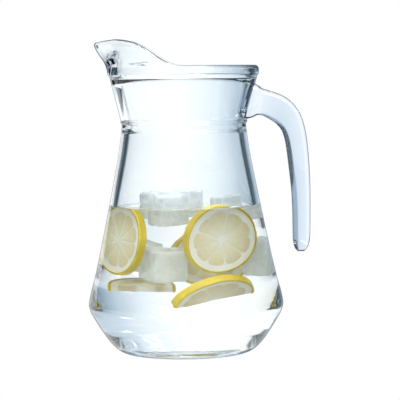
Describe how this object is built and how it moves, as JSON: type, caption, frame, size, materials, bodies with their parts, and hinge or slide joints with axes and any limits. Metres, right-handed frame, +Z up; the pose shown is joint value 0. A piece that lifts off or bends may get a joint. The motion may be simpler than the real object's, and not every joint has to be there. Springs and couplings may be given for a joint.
{
  "type": "glass water jug with a free-ended handle and iced lemon water",
  "caption": "Clear glass jug with a drawn pouring lip, flared collar and fused free-ended handle, half full of water with ice and lemon.",
  "frame": {"origin": "centre of the foot ring, on the plane that the jug stands on", "axes": "+Z up along the jug's axis; the pouring lip points towards -X and the handle towards +X"},
  "size_m": [0.1514, 0.1324, 0.2126],
  "materials": {
    "jug_glass": "polished",
    "water": "gloss",
    "ice": "satin",
    "lemon_peel": "satin",
    "lemon_pith": "matte",
    "lemon_pulp": "satin"
  },
  "bodies": {
    "jug": {"jug_body": "jug_glass", "handle": "jug_glass", "drink_water": "water"},
    "ice_cube_1": {"ice_cube_1": "ice"},
    "ice_cube_2": {"ice_cube_2": "ice"},
    "ice_cube_3": {"ice_cube_3": "ice"},
    "ice_cube_4": {"ice_cube_4": "ice"},
    "ice_cube_5": {"ice_cube_5": "ice"},
    "ice_cube_6": {"ice_cube_6": "ice"},
    "ice_cube_7": {"ice_cube_7": "ice"},
    "lemon_1": {"lemon_1_peel": "lemon_peel", "lemon_1_pith": "lemon_pith", "lemon_1_pulp": "lemon_pulp"},
    "lemon_2": {"lemon_2_peel": "lemon_peel", "lemon_2_pith": "lemon_pith", "lemon_2_pulp": "lemon_pulp"},
    "lemon_3": {"lemon_3_peel": "lemon_peel", "lemon_3_pith": "lemon_pith", "lemon_3_pulp": "lemon_pulp"},
    "lemon_4": {"lemon_4_peel": "lemon_peel", "lemon_4_pith": "lemon_pith", "lemon_4_pulp": "lemon_pulp"},
    "lemon_5": {"lemon_5_peel": "lemon_peel", "lemon_5_pith": "lemon_pith", "lemon_5_pulp": "lemon_pulp"},
    "lemon_chip": {"lemon_chip": "lemon_peel"}
  },
  "joints": [
    {"name": "ice_cube_1_bob", "type": "slide", "parent": "jug", "child": "ice_cube_1", "axis": [0, 0, 1], "range_m": [-0.0015, 0.0015], "stiffness_N_per_m": 4, "springref_m": 0.03331, "deforming": ["drink_water"]},
    {"name": "ice_cube_2_bob", "type": "slide", "parent": "jug", "child": "ice_cube_2", "axis": [0, 0, 1], "range_m": [-0.0015, 0.0015], "stiffness_N_per_m": 4, "springref_m": 0.03868, "deforming": ["drink_water"]},
    {"name": "ice_cube_3_bob", "type": "slide", "parent": "jug", "child": "ice_cube_3", "axis": [0, 0, 1], "range_m": [-0.0015, 0.0015], "stiffness_N_per_m": 4, "springref_m": 0.02853, "deforming": ["drink_water"]},
    {"name": "ice_cube_4_bob", "type": "slide", "parent": "jug", "child": "ice_cube_4", "axis": [0, 0, 1], "range_m": [-0.0015, 0.0015], "stiffness_N_per_m": 4, "springref_m": 0.02453, "deforming": ["drink_water"]},
    {"name": "ice_cube_5_bob", "type": "slide", "parent": "jug", "child": "ice_cube_5", "axis": [0, 0, 1], "range_m": [-0.0015, 0.0015], "stiffness_N_per_m": 4, "springref_m": 0.03181, "deforming": ["drink_water"]},
    {"name": "ice_cube_6_bob", "type": "slide", "parent": "jug", "child": "ice_cube_6", "axis": [0, 0, 1], "range_m": [-0.0015, 0.0015], "stiffness_N_per_m": 4, "springref_m": 0.02473, "deforming": ["drink_water"]},
    {"name": "ice_cube_7_bob", "type": "slide", "parent": "jug", "child": "ice_cube_7", "axis": [0, 0, 1], "range_m": [-0.0015, 0.0015], "stiffness_N_per_m": 4, "springref_m": 0.03359, "deforming": ["drink_water"]},
    {"name": "lemon_1_bob", "type": "slide", "parent": "jug", "child": "lemon_1", "axis": [0, 0, 1], "range_m": [-0.0015, 0.0015], "stiffness_N_per_m": 4, "springref_m": 0.01568, "deforming": ["drink_water"]},
    {"name": "lemon_2_bob", "type": "slide", "parent": "jug", "child": "lemon_2", "axis": [0, 0, 1], "range_m": [-0.0015, 0.0015], "stiffness_N_per_m": 4, "springref_m": 0.01568, "deforming": ["drink_water"]},
    {"name": "lemon_3_bob", "type": "slide", "parent": "jug", "child": "lemon_3", "axis": [0, 0, 1], "range_m": [-0.0015, 0.0015], "stiffness_N_per_m": 4, "springref_m": 0.00784, "deforming": ["drink_water"]},
    {"name": "lemon_4_bob", "type": "slide", "parent": "jug", "child": "lemon_4", "axis": [0, 0, 1], "range_m": [-0.0015, 0.0015], "stiffness_N_per_m": 4, "springref_m": 0.00393, "deforming": ["drink_water"]},
    {"name": "lemon_5_bob", "type": "slide", "parent": "jug", "child": "lemon_5", "axis": [0, 0, 1], "range_m": [-0.0015, 0.0015], "stiffness_N_per_m": 4, "springref_m": 0.01143, "deforming": ["drink_water"]},
    {"name": "lemon_chip_bob", "type": "slide", "parent": "jug", "child": "lemon_chip", "axis": [0, 0, 1], "range_m": [-0.0015, 0.0015], "stiffness_N_per_m": 0.4, "springref_m": 0.00209, "deforming": ["drink_water"]}
  ]
}
